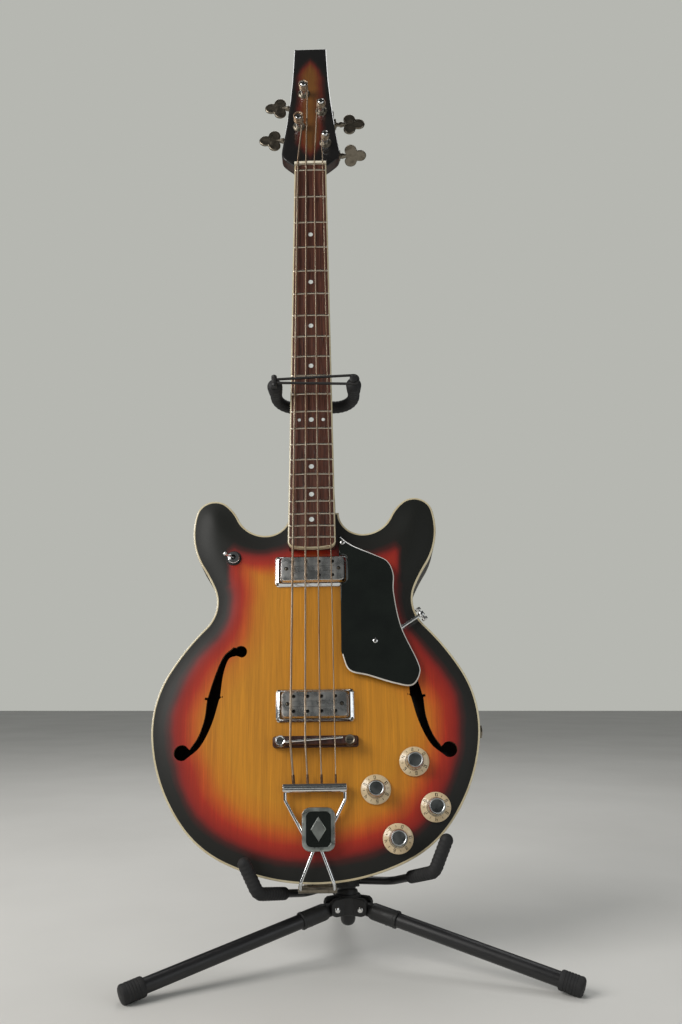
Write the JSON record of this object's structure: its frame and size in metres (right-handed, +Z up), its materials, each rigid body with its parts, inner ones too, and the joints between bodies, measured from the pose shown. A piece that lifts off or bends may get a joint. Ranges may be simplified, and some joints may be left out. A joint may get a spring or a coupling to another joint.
{
  "type": "guitar on stand",
  "caption": "Semi-hollow double-cutaway electric bass guitar held upright on a folding tripod floor stand with a neck yoke and cradle arms.",
  "frame": {"origin": "on the floor under the centre of the whole object's bounding box", "axes": "+Z up, the guitar's face looks towards -Y, +X to the viewer's right"},
  "size_m": [0.4602, 0.4102, 1.205],
  "materials": {
    "burst_top": "gloss lacquer over a sunburst of black, red and amber",
    "back_wood": "gloss lacquer, near-black brown",
    "cream": "polished cream celluloid",
    "inner_wood": "bare maple",
    "neck_wood": "gloss lacquer",
    "rosewood": "oiled open grain",
    "pearl": "pearl",
    "fret_metal": "polished nickel silver",
    "bone": "polished",
    "string_metal": "wound nickel, slightly tarnished",
    "nickel": "aged nickel",
    "chrome": "slightly aged chrome",
    "guard_black": "polished black with a white core",
    "knob": "cream dial under a brushed metal cap",
    "black_metal": "satin black powder coat",
    "black_plastic": "moulded black",
    "rubber": "matt black",
    "band_rubber": "matt black",
    "rivet": "bright plated"
  },
  "bodies": {
    "stand_base": {"hub": "black_metal", "hub_rivets": "rivet", "lower_tube": "black_metal", "height_clutch": "black_plastic", "cradle_frame": "black_metal", "cradle_pads": "rubber"},
    "leg_rear": {"leg_rear": "black_metal", "foot_cap_rear": "rubber"},
    "leg_left": {"leg_left": "black_metal", "foot_cap_left": "rubber"},
    "leg_right": {"leg_right": "black_metal", "foot_cap_right": "rubber"},
    "upper_column": {"upper_tube": "black_metal"},
    "yoke": {"yoke_frame": "black_metal", "yoke_pads": "rubber"},
    "band": {"retaining_band": "band_rubber"},
    "guitar": {"body_top": "burst_top", "body_back": "back_wood", "body_rim": "back_wood", "body_binding": "cream", "centre_block": "inner_wood", "neck": "neck_wood", "fretboard": "rosewood", "fret_markers": "pearl", "fretboard_binding": "cream", "frets": "fret_metal", "nut": "bone", "strings": "string_metal", "tuner_machines": "nickel", "pickup_rings": "chrome", "pickup_covers": "chrome", "screws": "nickel", "pickguard": "guard_black", "guard_bracket": "nickel", "bridge_base": "rosewood", "bridge_saddle": "rosewood", "bridge_wire": "fret_metal", "tailpiece_bar": "chrome", "tailpiece_wires": "chrome", "tailpiece_bracket": "chrome", "tailpiece_plate": "nickel", "potentiometers": "nickel", "toggle_base": "chrome", "output_jack": "chrome"},
    "clamp_screw": {"guard_clamp_screw": "nickel"},
    "wheel_bass": {"bridge_wheel_bass": "nickel"},
    "wheel_treble": {"bridge_wheel_treble": "nickel"},
    "toggle": {"toggle_lever": "chrome"},
    "key_e": {"tuner_key_e": "nickel"},
    "post_e": {"tuner_post_e": "nickel"},
    "key_a": {"tuner_key_a": "nickel"},
    "post_a": {"tuner_post_a": "nickel"},
    "key_d": {"tuner_key_d": "nickel"},
    "post_d": {"tuner_post_d": "nickel"},
    "key_g": {"tuner_key_g": "nickel"},
    "post_g": {"tuner_post_g": "nickel"},
    "knob_1": {"knob_1": "knob"},
    "knob_2": {"knob_2": "knob"},
    "knob_3": {"knob_3": "knob"},
    "knob_4": {"knob_4": "knob"}
  },
  "joints": [
    {"name": "leg_rear_fold", "type": "hinge", "parent": "stand_base", "child": "leg_rear", "pos_m": [-0.00627, -0.03732, 0.057], "axis": [-0.999, -0.0436, 0], "range_deg": [0, 76]},
    {"name": "leg_left_fold", "type": "hinge", "parent": "stand_base", "child": "leg_left", "pos_m": [-0.02227, -0.06805, 0.057], "axis": [0.5373, -0.8434, 0], "range_deg": [0, 76]},
    {"name": "leg_right_fold", "type": "hinge", "parent": "stand_base", "child": "leg_right", "pos_m": [0.01234, -0.06653, 0.057], "axis": [0.4617, 0.887, 0], "range_deg": [0, 76]},
    {"name": "height_slide", "type": "slide", "parent": "stand_base", "child": "upper_column", "axis": [-0.0645, 0.2465, 0.967], "range_m": [-0.04, 0.09]},
    {"name": "yoke_swivel", "type": "hinge", "parent": "upper_column", "child": "yoke", "pos_m": [-0.0467, 0.10045, 0.67588], "axis": [-0.0645, 0.2465, 0.967], "range_deg": [-5, 5]},
    {"name": "band_release", "type": "hinge", "parent": "yoke", "child": "band", "pos_m": [-0.09461, 0.00658, 0.67476], "axis": [0.0123, -0.2472, -0.9689], "range_deg": [0, 100]},
    {"name": "guitar_lift", "type": "slide", "parent": "stand_base", "child": "guitar", "axis": [-0.0123, 0.2472, 0.9689], "range_m": [0, 0.09]},
    {"name": "key_e_turn", "type": "hinge", "parent": "guitar", "child": "key_e", "pos_m": [-0.10991, 0.15566, 1.06578], "axis": [0.9998, -0.0134, 0.0161], "continuous": true},
    {"name": "post_e_turn", "type": "hinge", "parent": "guitar", "child": "post_e", "pos_m": [-0.07109, 0.12801, 1.07333], "axis": [-0.0169, -0.9689, 0.247], "continuous": true},
    {"name": "key_a_turn", "type": "hinge", "parent": "guitar", "child": "key_a", "pos_m": [-0.1031, 0.16956, 1.12074], "axis": [0.9998, -0.0134, 0.0161], "continuous": true},
    {"name": "post_a_turn", "type": "hinge", "parent": "guitar", "child": "post_a", "pos_m": [-0.06509, 0.14191, 1.12828], "axis": [-0.0169, -0.9689, 0.247], "continuous": true},
    {"name": "key_d_turn", "type": "hinge", "parent": "guitar", "child": "key_d", "pos_m": [0.00225, 0.16054, 1.09259], "axis": [0.9998, -0.0134, 0.0161], "continuous": true},
    {"name": "post_d_turn", "type": "hinge", "parent": "guitar", "child": "post_d", "pos_m": [-0.04071, 0.13398, 1.09882], "axis": [-0.0169, -0.9689, 0.247], "continuous": true},
    {"name": "key_g_turn", "type": "hinge", "parent": "guitar", "child": "key_g", "pos_m": [0.00392, 0.14705, 1.0398], "axis": [0.9998, -0.0134, 0.0161], "continuous": true},
    {"name": "post_g_turn", "type": "hinge", "parent": "guitar", "child": "post_g", "pos_m": [-0.03485, 0.12044, 1.0461], "axis": [-0.0169, -0.9689, 0.247], "continuous": true},
    {"name": "knob_1_turn", "type": "hinge", "parent": "guitar", "child": "knob_1", "pos_m": [0.06761, -0.08092, 0.22282], "axis": [0.0169, 0.9689, -0.247], "range_deg": [-150, 150]},
    {"name": "knob_2_turn", "type": "hinge", "parent": "guitar", "child": "knob_2", "pos_m": [0.0249, -0.08783, 0.19277], "axis": [0.0169, 0.9689, -0.247], "range_deg": [-150, 150]},
    {"name": "knob_3_turn", "type": "hinge", "parent": "guitar", "child": "knob_3", "pos_m": [0.09003, -0.09367, 0.17433], "axis": [0.0169, 0.9689, -0.247], "range_deg": [-150, 150]},
    {"name": "knob_4_turn", "type": "hinge", "parent": "guitar", "child": "knob_4", "pos_m": [0.04845, -0.10136, 0.1413], "axis": [0.0169, 0.9689, -0.247], "range_deg": [-150, 150]},
    {"name": "toggle_throw", "type": "hinge", "parent": "guitar", "child": "toggle", "pos_m": [-0.14061, -0.01445, 0.45712], "axis": [-0.0123, 0.2472, 0.9689], "range_deg": [0, 66]},
    {"name": "clamp_screw_turn", "type": "hinge", "parent": "guitar", "child": "clamp_screw", "pos_m": [0.07945, -0.03864, 0.38864], "axis": [-0.5678, 0.2126, 0.7952], "continuous": true},
    {"name": "wheel_bass_turn", "type": "hinge", "parent": "guitar", "child": "wheel_bass", "pos_m": [-0.0803, -0.07662, 0.2441], "axis": [-0.0169, -0.9689, 0.247], "continuous": true},
    {"name": "wheel_treble_turn", "type": "hinge", "parent": "guitar", "child": "wheel_treble", "pos_m": [-0.00332, -0.07765, 0.24534], "axis": [-0.0169, -0.9689, 0.247], "continuous": true}
  ],
  "couplings": [
    {"joint": "post_e_turn", "follows": "key_e_turn", "ratio": 0.05},
    {"joint": "post_a_turn", "follows": "key_a_turn", "ratio": 0.05},
    {"joint": "post_d_turn", "follows": "key_d_turn", "ratio": 0.05},
    {"joint": "post_g_turn", "follows": "key_g_turn", "ratio": 0.05}
  ]
}
